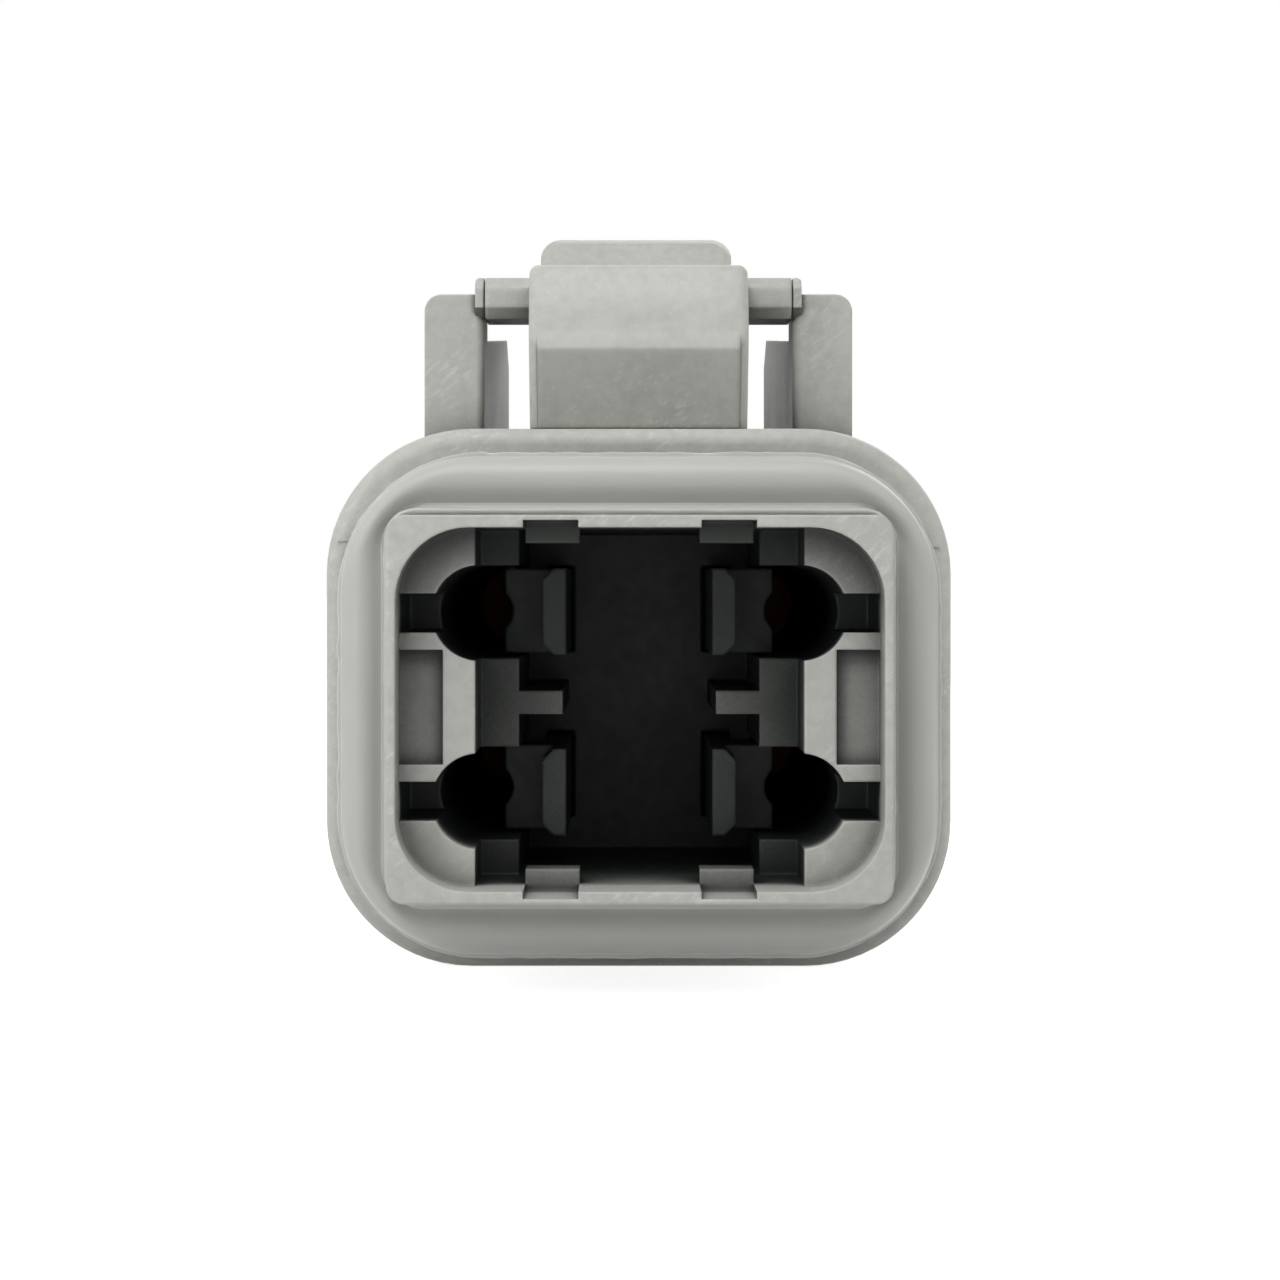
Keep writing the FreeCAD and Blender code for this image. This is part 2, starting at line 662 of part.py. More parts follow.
# Grey ring on the root of the nose: sleeve, three beads and a thin front lip.
def makeInterfaceSeal():
    body = newBody("interface_seal")
    width = "(nose_width + 2 * seal_side)"
    height = "(nose_height + 2 * seal_top)"
    sleeveFront = flangeFace + " - seal_reach + lip_length"
    sleeve = frontSketch(body, "sleeve", flangeFace)
    drawRoundedBox(sleeve, "(%s - 2 * bead_height)" % width, "(%s - 2 * bead_height)" % height,
                   "(seal_corner - bead_height)")
    padForward(body, sleeve, "seal_reach - lip_length")
    lip = frontSketch(body, "lip", sleeveFront)
    drawRoundedBox(lip, "(nose_width + 2 * lip_thickness)", "(nose_height + 2 * lip_thickness)",
                   "(nose_corner + lip_thickness)")
    padForward(body, lip, "lip_length")
    for number in range(3):
        bead = frontSketch(body, "bead%d" % number, "%s + %d * bead_pitch" % (sleeveFront, number))
        drawRoundedBox(bead, width, height, "seal_corner")
        padRearward(body, bead, "bead_length")
    besideSleeve = value("%s / 2 - bead_height / 2" % width)
    aboveSleeve = value("%s / 2 - bead_height / 2" % height)
    heart = value(middle)

    def isBeadEdge(box):
        beside = box.XMax > besideSleeve or box.XMin < -besideSleeve
        above = box.ZMax > heart + aboveSleeve or box.ZMin < heart - aboveSleeve
        return same(box.YMin, box.YMax) and (beside or above)

    dressEdges(body, "Chamfer", "bead_edges", "bead_chamfer", isBeadEdge)
    hole = frontSketch(body, "nose_hole", flangeFace)
    drawRoundedBox(hole, "nose_width", "nose_height", "nose_corner")
    cutForward(body, hole, "seal_reach")
    return body


# Soft block in the rear chamber: two rings outside and two rings in each wire hole.
def makeWireSeal():
    body = newBody("wire_seal")
    front = chamberFloor + " + part_clearance"
    length = "(chamber_depth - plug_length - 2 * part_clearance)"
    core = frontSketch(body, "core", front)
    drawRoundedBox(core, "(%s - 2 * seal_rib_height)" % chamberWidth,
                   "(%s - 2 * seal_rib_height)" % chamberHeight, "(%s - seal_rib_height)" % chamberCorner)
    padRearward(body, core, length)
    for number in range(2):
        start = "%s + %d * (%s - wire_ring_length)" % (front, number, length)
        rib = frontSketch(body, "rib%d" % number, start)
        drawRoundedBox(rib, chamberWidth, chamberHeight, chamberCorner)
        padRearward(body, rib, "wire_ring_length")
    holes = frontSketch(body, "holes", front)
    drawCavityCircles(holes, "wire_hole_radius")
    cutRearward(body, holes, length)
    groove = frontSketch(body, "groove", front + " + wire_ring_length")
    drawCavityCircles(groove, "wire_groove_radius")
    cutRearward(body, groove, length + " - 2 * wire_ring_length")
    return body


# Rear cap: plate with four chamfered wire holes and a plug that sits in the chamber.
def makeSealRetainer():
    body = newBody("seal_retainer")
    plate = frontSketch(body, "plate", shellEnd)
    drawRoundedBox(plate, "cap_width", "flange_height", "cap_corner")
    padRearward(body, plate, "cap_thickness")
    rear = value("overall_length / 2")
    dressEdges(body, "Chamfer", "cap_edge", "cap_chamfer", lambda box: sameSpan(box.YMin, box.YMax, rear))
    plug = frontSketch(body, "plug", shellEnd)
    drawRoundedBox(plug, "(%s - 2 * part_clearance)" % chamberWidth,
                   "(%s - 2 * part_clearance)" % chamberHeight, "(%s - part_clearance)" % chamberCorner)
    padForward(body, plug, "plug_length")
    entry = frontSketch(body, "entry", shellEnd + " - plug_length")
    drawCavityCircles(entry, "wire_entry_radius")
    cutRearward(body, entry, "plug_length + cap_thickness")
    small = 2 * value("wire_entry_radius") + 0.01
    dressEdges(body, "Chamfer", "entry_mouths", "wire_entry_chamfer",
               lambda box: sameSpan(box.YMin, box.YMax, rear) and box.XLength < small)
    return body


# Spring finger that locks one contact: beam, barb with ramp, hollow seat and root.
def makeLockingFinger(label, side, sign):
    body = newBody(label)
    tip = "(%s + finger_setback)" % stepFace
    barb = "%s + barb_start" % tip
    root = "%s + root_length" % bayFloor
    row = rowHeight(sign)
    inner = side + "finger_inner"
    outer = side + fingerOuter
    reach = side + "(cavity_pitch / 2 - barb_gap)"
    plan = topSketch(body, "plan", row)
    drawPolygon(plan, [
        (inner, tip),
        (outer, tip),
        (outer, barb),
        (reach, barb),
        (reach, barb + " + barb_length"),
        (outer, barb + " + barb_length + barb_ramp"),
        (outer, root),
        (inner, root),
    ])
    padBothWays(body, plan, "finger_height")
    outerX = value(outer)
    tipY = value(tip)
    barbY = value(barb)

    def isTipCorner(box):
        alongY = same(box.YMin, tipY) and same(box.YMax, barbY)
        return alongY and sameSpan(box.XMin, box.XMax, outerX)

    dressEdges(body, "Chamfer", "tip_corners", "finger_chamfer", isTipCorner)
    seat = frontSketch(body, "contact_seat", tip)
    drawCircle(seat, side + "cavity_pitch / 2", row, "seat_radius")
    cutRearward(body, seat, "barb_start + barb_length + barb_ramp")
    return body


def checkDocument(bodies):
    for item in doc.Objects:
        if "Invalid" in item.State or "Error" in item.State:
            raise RuntimeError("%s failed: %s" % (item.Name, item.State))
    for body in bodies:
        volume = 0.0
        for feature in body.Group:
            if not feature.isDerivedFrom("PartDesign::Feature"):
                continue
            grown = feature.Shape.Volume
            if abs(grown - volume) < 1e-4:
                raise RuntimeError("%s in %s changes nothing" % (feature.Name, body.Label))
            if feature.isDerivedFrom("PartDesign::Pocket") and grown > volume:
                raise RuntimeError("%s in %s adds material" % (feature.Name, body.Label))
            volume = grown
        if body.Shape.isNull() or not body.Shape.isValid():
            raise RuntimeError("%s has no valid shape" % body.Label)
        if len(body.Shape.Solids) != 1:
            raise RuntimeError("%s has %d solids" % (body.Label, len(body.Shape.Solids)))


def main():
    bodies = [makeHousing(), makeLatch(), makeInterfaceSeal(), makeWireSeal(), makeSealRetainer()]
    for level, sign in (("upper", "+"), ("lower", "-")):
        for place, side in (("left", "-"), ("right", "")):
            bodies.append(makeLockingFinger("locking_finger_%s_%s" % (level, place), side, sign))
    doc.recompute()
    checkDocument(bodies)
    os.makedirs("parts", exist_ok=True)
    for body in bodies:
        body.Shape.exportStep("parts/%s.step" % body.Label)
        box = body.Shape.BoundBox
        print("%s: %.2f mm3, %.2f x %.2f x %.2f mm" % (
            body.Label, body.Shape.Volume, box.XLength, box.YLength, box.ZLength))


main()
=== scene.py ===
import json
import math
import bpy
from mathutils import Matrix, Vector


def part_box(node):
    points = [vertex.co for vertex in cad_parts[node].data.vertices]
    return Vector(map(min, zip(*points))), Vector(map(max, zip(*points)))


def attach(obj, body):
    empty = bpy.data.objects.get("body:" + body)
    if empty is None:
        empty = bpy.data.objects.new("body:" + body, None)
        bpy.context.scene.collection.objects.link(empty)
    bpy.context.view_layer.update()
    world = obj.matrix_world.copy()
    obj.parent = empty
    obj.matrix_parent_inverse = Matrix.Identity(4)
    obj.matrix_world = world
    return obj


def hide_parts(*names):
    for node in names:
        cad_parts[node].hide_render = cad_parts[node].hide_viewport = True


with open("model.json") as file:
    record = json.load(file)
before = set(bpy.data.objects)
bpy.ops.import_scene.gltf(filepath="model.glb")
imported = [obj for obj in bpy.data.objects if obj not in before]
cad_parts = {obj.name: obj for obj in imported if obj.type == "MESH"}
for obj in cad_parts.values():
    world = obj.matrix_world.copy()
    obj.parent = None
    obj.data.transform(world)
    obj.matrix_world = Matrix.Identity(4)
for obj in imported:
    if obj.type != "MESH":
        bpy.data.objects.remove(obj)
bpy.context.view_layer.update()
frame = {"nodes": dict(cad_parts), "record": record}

mm = 0.001
smoothAngle = math.radians(40)


# a node's lowest and highest corner, in mm
def cornersOf(nodeName):
    return [[round(value / mm, 3) for value in corner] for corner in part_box(nodeName)]


# places of the mounts whose names start so, in mm, from left to right and upward
def mountPlaces(start):
    mounts = [mount for mount in frame["record"]["mounts"] if mount["name"].startswith(start)]
    return sorted([round(value / mm, 3) for value in mount["pos_m"]] for mount in mounts)


middleHeight = mountPlaces("mating_nose")[0][2]   # of the nose, above the rest plane


# scene and camera

# The photo is taken from 75 mm in front of the flange, 3 mm above the middle of the nose.
cameraSetup = {
    "lens": 83.3,
    "place": (-0.30 * mm, -85.6 * mm, 9.82 * mm),
    "shift": (0.0102, -0.0469),
    "clip": (1 * mm, 5),           # m, nearest and farthest that it sees
}


def makeCamera():
    bpy.ops.object.camera_add(location=cameraSetup["place"], rotation=(math.pi / 2, 0, 0))
    camera = bpy.context.object
    camera.name = "photoCamera"
    camera.data.lens = cameraSetup["lens"]
    camera.data.shift_x, camera.data.shift_y = cameraSetup["shift"]
    camera.data.clip_start, camera.data.clip_end = cameraSetup["clip"]
    bpy.context.scene.camera = camera


# Light comes from above and from both sides, hardly from the front: the recess stays dark, and the
# plastics' painted shade darkens it further.
# Places and sizes are in mm.
lampSetup = {
    "topSoftbox": {"place": (-16, -68, 108), "aim": (0, -10, 9), "size": 60, "watts": 0.075},
    "leftSoftbox": {"place": (-95, -45, 60), "aim": (0, -10, 9), "size": 60, "watts": 0.027},
    "rightFill": {"place": (115, -35, 40), "aim": (0, -10, 9), "size": 80, "watts": 0.030},
    "lowFill": {"place": (-66, -98, 9), "aim": (0, -10, 7), "size": 18, "watts": 0.013},
    "rearFill": {"place": (40, 150, 90), "aim": (0, 0, 8), "size": 120, "watts": 0.110},
}
worldSetup = {
    "sideLevel": 0.37,
    "frontLevel": 0.04,            # darker round the camera
    "frontEdge": (-0.90, -0.10),   # Y of the direction where it turns to the side level
}


def makeLamps():
    for name, lamp in lampSetup.items():
        place = Vector(lamp["place"]) * mm
        aim = Vector(lamp["aim"]) * mm
        bpy.ops.object.light_add(type="AREA", location=place)
        light = bpy.context.object
        light.name = name
        light.rotation_euler = (aim - place).to_track_quat("-Z", "Y").to_euler()
        light.data.shape = "SQUARE"
        light.data.size = lamp["size"] * mm
        light.data.energy = lamp["watts"]
        light.visible_camera = False


# 1 for camera, glossy and transmission rays
def seenOrMirrored(nodes, links):
    path = nodes.new("ShaderNodeLightPath")
    first = nodes.new("ShaderNodeMath")
    first.operation = "MAXIMUM"
    links.new(path.outputs["Is Camera Ray"], first.inputs[0])
    links.new(path.outputs["Is Glossy Ray"], first.inputs[1])
    second = nodes.new("ShaderNodeMath")
    second.operation = "MAXIMUM"
    links.new(first.outputs[0], second.inputs[0])
    links.new(path.outputs["Is Transmission Ray"], second.inputs[1])
    return second.outputs[0]


def makeWorld():
    world = bpy.data.worlds.new("paleStudio")
    bpy.context.scene.world = world
    world.use_nodes = True
    nodes, links = world.node_tree.nodes, world.node_tree.links
    nodes.clear()
    direction = nodes.new("ShaderNodeTexCoord")
    axes = nodes.new("ShaderNodeSeparateXYZ")
    links.new(direction.outputs["Generated"], axes.inputs[0])
    ramp = nodes.new("ShaderNodeMapRange")
    ramp.inputs["From Min"].default_value, ramp.inputs["From Max"].default_value = worldSetup["frontEdge"]
    ramp.inputs["To Min"].default_value = worldSetup["frontLevel"]
    ramp.inputs["To Max"].default_value = worldSetup["sideLevel"]
    links.new(axes.outputs["Y"], ramp.inputs["Value"])
    dim = nodes.new("ShaderNodeBackground")
    dim.inputs["Color"].default_value = (1, 1, 1, 1)
    links.new(ramp.outputs["Result"], dim.inputs["Strength"])
    white = nodes.new("ShaderNodeBackground")
    white.inputs["Color"].default_value = (1, 1, 1, 1)
    white.inputs["Strength"].default_value = 1
    mix = nodes.new("ShaderNodeMixShader")
    out = nodes.new("ShaderNodeOutputWorld")
    links.new(seenOrMirrored(nodes, links), mix.inputs[0])
    links.new(dim.outputs[0], mix.inputs[1])
    links.new(white.outputs[0], mix.inputs[2])
    links.new(mix.outputs[0], out.inputs["Surface"])


def startMaterial(name):
    material = bpy.data.materials.new(name)
    material.use_nodes = True
    return material, material.node_tree.nodes, material.node_tree.links


floorSetup = {
    "size": 3.0,                        # m
    "drop": 0.01,                       # mm under the rest plane
    "colour": (0.80, 0.80, 0.80, 1),
    "seenLight": 0.86,                  # added for the camera, so that the floor turns white
}


def makeFloor():
    bpy.ops.mesh.primitive_plane_add(size=floorSetup["size"], location=(0, 0, -floorSetup["drop"] * mm))
    floor = bpy.context.object
    floor.name = "paleFloor"
    material, nodes, links = startMaterial("floorPaper")
    nodes.clear()
    paper = nodes.new("ShaderNodeBsdfDiffuse")
    paper.inputs["Color"].default_value = floorSetup["colour"]
    glow = nodes.new("ShaderNodeEmission")
    level = nodes.new("ShaderNodeMath")
    level.operation = "MULTIPLY"
    level.inputs[1].default_value = floorSetup["seenLight"]
    add = nodes.new("ShaderNodeAddShader")
    out = nodes.new("ShaderNodeOutputMaterial")
    links.new(seenOrMirrored(nodes, links), level.inputs[0])
    links.new(level.outputs[0], glow.inputs["Strength"])
    links.new(paper.outputs[0], add.inputs[0])
    links.new(glow.outputs[0], add.inputs[1])
    links.new(add.outputs[0], out.inputs["Surface"])
    floor.data.materials.append(material)


# materials

def newGroup(name, inputs, outputs):
    group = bpy.data.node_groups.new(name, "ShaderNodeTree")
    for label, kind, default in inputs:
        socket = group.interface.new_socket(name=label, in_out="INPUT", socket_type=kind)
        if default is not None:
            socket.default_value = default
    for label, kind in outputs:
        group.interface.new_socket(name=label, in_out="OUTPUT", socket_type=kind)
    return group, group.nodes.new("NodeGroupInput"), group.nodes.new("NodeGroupOutput")


def mathNode(nodes, links, operation, first, second=None, clamp=False):
    node = nodes.new("ShaderNodeMath")
    node.operation = operation
    node.use_clamp = clamp
    for slot, value in enumerate((first, second)):
        if value is None:
            continue
        if isinstance(value, (int, float)):
            node.inputs[slot].default_value = value
        else:
            links.new(value, node.inputs[slot])
    return node.outputs[0]


def noiseNode(nodes, links, vector, scale, detail, roughness=0.5):
    node = nodes.new("ShaderNodeTexNoise")
    node.inputs["Detail"].default_value = detail
    node.inputs["Roughness"].default_value = roughness
    links.new(vector, node.inputs["Vector"])
    if isinstance(scale, (int, float)):
        node.inputs["Scale"].default_value = scale
    else:
        links.new(scale, node.inputs["Scale"])
    return node.outputs[0]


def sharpen(nodes, links, value, low, high):
    node = nodes.new("ShaderNodeMapRange")
    node.inputs["From Min"].default_value = low
    node.inputs["From Max"].default_value = high
    links.new(value, node.inputs["Value"])
    return node.outputs["Result"]


# scales are per metre, and a noise is given by its detail and roughness
grainPattern = {
    "grainScale": 9000.0,
    "grainNoise": (3, 0.6),
    "coarseScale": 0.35,        # of the fine grain's scale
    "coarseNoise": (2, 0.5),
    "coarseHeight": 0.6,        # of the fine grain's height
    "cloudScale": 260.0,
    "cloudNoise": (4, 0.55),
    "cloudRange": (0.80, 1.20),
    "fleckRange": (0.60, 0.74),
}


# spark-eroded grain with faint clouds
def makeMouldedGrain():
    pattern = grainPattern
    group, given, result = newGroup(
        "mouldedGrain",
        [("Vector", "NodeSocketVector", None), ("Grain Scale", "NodeSocketFloat", pattern["grainScale"]),
         ("Cloud Scale", "NodeSocketFloat", pattern["cloudScale"])],
        [("Height", "NodeSocketFloat"), ("Clouds", "NodeSocketFloat"), ("Flecks", "NodeSocketFloat")])
    nodes, links = group.nodes, group.links
    vector = given.outputs["Vector"]
    fine = noiseNode(nodes, links, vector, given.outputs["Grain Scale"], *pattern["grainNoise"])
    coarseScale = mathNode(nodes, links, "MULTIPLY", given.outputs["Grain Scale"], pattern["coarseScale"])
    coarse = noiseNode(nodes, links, vector, coarseScale, *pattern["coarseNoise"])
    weighted = mathNode(nodes, links, "MULTIPLY", coarse, pattern["coarseHeight"])
    links.new(mathNode(nodes, links, "ADD", fine, weighted), result.inputs["Height"])
    large = noiseNode(nodes, links, vector, given.outputs["Cloud Scale"], *pattern["cloudNoise"])
    both = mathNode(nodes, links, "ADD", large, coarse)
    links.new(sharpen(nodes, links, both, *pattern["cloudRange"]), result.inputs["Clouds"])
    links.new(sharpen(nodes, links, fine, *pattern["fleckRange"]), result.inputs["Flecks"])


markPattern = {
    "slant": 38,                # degrees about Y
    "stretch": 0.26,            # scale along a scratch, of the scale across it
    "lineScale": 8600.0,
    "lineNoise": (2, 0.6),
    "lineRange": (0.54, 0.68),
    "patchScale": 380.0,
    "patchNoise": (2, 0.5),
    "patchRange": (0.44, 0.62),
}


# pale handling marks: short slanted scratches in patches
def makeHandlingMarks():
    pattern = markPattern
    group, given, result = newGroup(
        "handlingMarks",
        [("Vector", "NodeSocketVector", None), ("Length", "NodeSocketFloat", pattern["stretch"]),
         ("Patch Scale", "NodeSocketFloat", pattern["patchScale"])],
        [("Marks", "NodeSocketFloat")])
    nodes, links = group.nodes, group.links
    turned = nodes.new("ShaderNodeVectorRotate")
    turned.rotation_type = "Y_AXIS"
    turned.inputs["Angle"].default_value = math.radians(pattern["slant"])
    links.new(given.outputs["Vector"], turned.inputs["Vector"])
    stretch = nodes.new("ShaderNodeCombineXYZ")
    for axis in ("Y", "Z"):
        stretch.inputs[axis].default_value = 1
    links.new(given.outputs["Length"], stretch.inputs["X"])
    long = nodes.new("ShaderNodeVectorMath")
    long.operation = "MULTIPLY"
    links.new(turned.outputs[0], long.inputs[0])
    links.new(stretch.outputs[0], long.inputs[1])
    fine = noiseNode(nodes, links, long.outputs[0], pattern["lineScale"], *pattern["lineNoise"])
    lines = sharpen(nodes, links, fine, *pattern["lineRange"])
    vector, patchScale = given.outputs["Vector"], given.outputs["Patch Scale"]
    large = noiseNode(nodes, links, vector, patchScale, *pattern["patchNoise"])
    patches = sharpen(nodes, links, large, *pattern["patchRange"])
    links.new(mathNode(nodes, links, "MULTIPLY", lines, patches), result.inputs["Marks"])


edgeGain = 4.0   # an edge counts fully where the rounded normal leans 41 degrees


# 1 on edges, from how far the rounded normal leans off the flat one; it places the painted edge highlight
def makeEdgeLight():
    group, given, result = newGroup(
        "edgeLight", [("Rounded Normal", "NodeSocketVector", None)], [("Edge", "NodeSocketFloat")])
    nodes, links = group.nodes, group.links
    geometry = nodes.new("ShaderNodeNewGeometry")
    dot = nodes.new("ShaderNodeVectorMath")
    dot.operation = "DOT_PRODUCT"
    links.new(given.outputs["Rounded Normal"], dot.inputs[0])
    links.new(geometry.outputs["Normal"], dot.inputs[1])
    lean = mathNode(nodes, links, "SUBTRACT", 1.0, dot.outputs["Value"])
    strong = mathNode(nodes, links, "MULTIPLY", lean, edgeGain, clamp=True)
    links.new(strong, result.inputs["Edge"])


def mixColours(nodes, links, factor, first, second):
    mix = nodes.new("ShaderNodeMix")
    mix.data_type = "RGBA"
    links.new(factor, mix.inputs["Factor"])
    for label, colour in (("A", first), ("B", second)):
        socket = [s for s in mix.inputs if s.name == label and s.type == "RGBA"][0]
        if isinstance(colour, tuple):
            socket.default_value = colour
        else:
            links.new(colour, socket)
    return [s for s in mix.outputs if s.type == "RGBA"][0]


def placeGroup(nodes, name):
    node = nodes.new("ShaderNodeGroup")
    node.node_tree = bpy.data.node_groups[name]
    return node


plasticFinish = {
    "colour": (0.535, 0.535, 0.500, 1),
    "shadeColour": (0.470, 0.472, 0.440, 1),
    "fleckColour": (0.70, 0.70, 0.67, 1),
    # painted highlight on the rounded edges
    "edgeHighlightColour": (0.72, 0.72, 0.69, 1),
    # painted shade: the colour turns to this near-black in hollows, under walls and where faces are hidden
    # from above; the settings below shape it
    "paintedShadeColour": (0.012, 0.016, 0.014, 1),
    "hollowReaches": (12.0, 5.0),  # mm, how far away a wall still shades a hollow
    "hollowSamples": 8,
    "paintedShadeRange": (0.10, 0.62),   # openness of the darkest hollow and of a free face
    "shallowRange": (0.0, 0.28),   # the same two in front of the plateaus
    "ownHollows": True,            # shaded by its own walls only
    "underside": (2.2, 1.9),       # mm of height, between them the underside's free faces begin
    "shallows": (-15.3, -16.0),    # mm along Y, between them the shallow front begins
    "above": (0, -0.45, 0.90),     # where most of the light comes from
    "aboveGain": 1.8,
    "aboveBase": 0.04,
    "ior": 1.46,
    "specular": 0.32,
    "roughness": 0.50,
    "roughSpread": 0.08,
    "edgeRadius": 0.11,            # mm, softened mould edges
    "edgeSamples": 6,
    # strength of the painted edge highlight
    "paintedEdgeHighlight": 0.45,
    "grainDepth": 0.008,           # mm
    "grainStrength": 0.5,
    "flecks": 0.35,
    "marks": 0.45,                 # strength of the pale scratches
    "marksBelow": 100.0,           # mm, height up to which there are scratches
    "marksFade": 0.6,              # mm
}
# the fingers stand inside the housing, so the painted shade counts its walls too
fingerFinish = dict(plasticFinish, ownHollows=False, paintedShadeRange=(0.22, 1.00))
# the latch is thumbed and rubbed, and its bends are softer; it gets less painted shade and a weaker painted
# edge highlight
latchFinish = dict(plasticFinish, edgeRadius=0.24, marks=0.60, paintedEdgeHighlight=0.30, paintedShadeRange=(0.02, 0.40),
                   marksBelow=15.7)


# how open a place is, to all sides at two reaches and to above; it sets the painted shade
def addOpenness(nodes, links, finish):
    openness = []
    for reach in finish["hollowReaches"] + finish["hollowReaches"][:1]:
        node = nodes.new("ShaderNodeAmbientOcclusion")
        node.samples = finish["hollowSamples"]
        node.only_local = finish["ownHollows"]
        node.inputs["Distance"].default_value = reach * mm
        openness.append(node.outputs["AO"])
    above = nodes.new("ShaderNodeCombineXYZ")
    for axis, value in zip("XYZ", finish["above"]):
        above.inputs[axis].default_value = value
    links.new(above.outputs[0], node.inputs["Normal"])
    allSides = mathNode(nodes, links, "MULTIPLY", openness[0], openness[1])
    gained = mathNode(nodes, links, "MULTIPLY", openness[2], finish["aboveGain"])
    upward = mathNode(nodes, links, "ADD", gained, finish["aboveBase"])
    return mathNode(nodes, links, "MULTIPLY", allSides, upward)


# 0 in deep hollows, which are painted fully in shade, and 1 on free faces
def addUnshadedShare(nodes, links, finish, axes):
    openness = addOpenness(nodes, links, finish)
    openLevel = sharpen(nodes, links, openness, *finish["paintedShadeRange"])
    under = sharpen(nodes, links, axes.outputs["Z"], *[height * mm for height in finish["underside"]])
    shallow = sharpen(nodes, links, axes.outputs["Y"], *[depth * mm for depth in finish["shallows"]])
    shallowLevel = sharpen(nodes, links, openness, *finish["shallowRange"])
    shaded = mathNode(nodes, links, "MULTIPLY", shallow, shallowLevel)
    outside = mathNode(nodes, links, "MAXIMUM", under, shaded)
    return mathNode(nodes, links, "MAXIMUM", openLevel, outside)


# clouded and flecked plastic with scratches, and a painted highlight on the edges
def addPlasticColour(nodes, links, finish, grain, worn, edge, axes):
    clouded = mixColours(nodes, links, grain.outputs["Clouds"], finish["shadeColour"], finish["colour"])
    fleckLevel = mathNode(nodes, links, "MULTIPLY", grain.outputs["Flecks"], finish["flecks"])
    flecked = mixColours(nodes, links, fleckLevel, clouded, finish["fleckColour"])
    top = finish["marksBelow"]
    handled = sharpen(nodes, links, axes.outputs["Z"], top * mm, (top - finish["marksFade"]) * mm)
    marks = mathNode(nodes, links, "MULTIPLY", worn.outputs["Marks"], handled)
    markLevel = mathNode(nodes, links, "MULTIPLY", marks, finish["marks"])
    marked = mixColours(nodes, links, markLevel, flecked, finish["fleckColour"])
    # painted edge highlight
    edgeLevel = mathNode(nodes, links, "MULTIPLY", edge.outputs["Edge"], finish["paintedEdgeHighlight"])
    return mixColours(nodes, links, edgeLevel, marked, finish["edgeHighlightColour"])


# roughness that varies by a spread about its middle
def linkRoughness(nodes, links, shader, variation, middle, spread):
    shift = mathNode(nodes, links, "MULTIPLY", variation, spread)
    links.new(mathNode(nodes, links, "ADD", shift, middle - spread / 2), shader.inputs["Roughness"])


# normal rounded at the edges, and the level of the edges
def addRoundedEdges(nodes, links, finish):
    rounded = nodes.new("ShaderNodeBevel")
    rounded.samples = finish["edgeSamples"]
    rounded.inputs["Radius"].default_value = finish["edgeRadius"] * mm
    edge = placeGroup(nodes, "edgeLight")
    links.new(rounded.outputs["Normal"], edge.inputs["Rounded Normal"])
    return rounded, edge


def addBump(nodes, links, shader, height, strength, depth):
    bump = nodes.new("ShaderNodeBump")
    bump.inputs["Strength"].default_value = strength
    bump.inputs["Distance"].default_value = depth * mm
    links.new(height, bump.inputs["Height"])
    links.new(bump.outputs["Normal"], shader.inputs["Normal"])
    return bump


def makePlastic(name, finish):
    material, nodes, links = startMaterial(name)
    shader = nodes["Principled BSDF"]
    shader.inputs["IOR"].default_value = finish["ior"]
    shader.inputs["Specular IOR Level"].default_value = finish["specular"]
    coordinates = nodes.new("ShaderNodeTexCoord")
    grain = placeGroup(nodes, "mouldedGrain")
    links.new(coordinates.outputs["Object"], grain.inputs["Vector"])
    worn = placeGroup(nodes, "handlingMarks")
    links.new(coordinates.outputs["Object"], worn.inputs["Vector"])
    axes = nodes.new("ShaderNodeSeparateXYZ")
    links.new(coordinates.outputs["Object"], axes.inputs[0])
    rounded, edge = addRoundedEdges(nodes, links, finish)
    colour = addPlasticColour(nodes, links, finish, grain, worn, edge, axes)
    free = addUnshadedShare(nodes, links, finish, axes)
    # painted shade in the base colour, darkest in deep hollows
    links.new(mixColours(nodes, links, free, finish["paintedShadeColour"], colour), shader.inputs["Base Color"])
    linkRoughness(nodes, links, shader, grain.outputs["Clouds"], finish["roughness"], finish["roughSpread"])
    height = grain.outputs["Height"]
    bump = addBump(nodes, links, shader, height, finish["grainStrength"], finish["grainDepth"])
    links.new(rounded.outputs["Normal"], bump.inputs["Normal"])
    return material


greySiliconeFinish = {
    "colour": (0.505, 0.51, 0.48, 1),
    "deepColour": (0.455, 0.46, 0.435, 1),
    # painted highlight on edges, the crest's flash and the lip
    "edgeHighlightColour": (0.92, 0.92, 0.90, 1),
    "ior": 1.41,
    "roughness": 0.42,
    "roughSpread": 0.14,
    "cloudScale": 420.0,
    "cloudNoise": (3, 0.5),
    "dustScale": 5200.0,
    "dustNoise": (2, 0.6),
    "dustDepth": 0.006,            # mm
    "dustStrength": 0.25,
    "edgeRadius": 0.055,           # mm
    "edgeSamples": 4,
    "paintedEdgeHighlight": 0.8,
}
# the ochre seal keeps the painted edge highlight, only a little lighter than its colour
ochreSiliconeFinish = dict(greySiliconeFinish, roughness=0.40, colour=(0.56, 0.27, 0.05, 1),
                           deepColour=(0.47, 0.20, 0.035, 1), edgeHighlightColour=(0.62, 0.33, 0.08, 1))


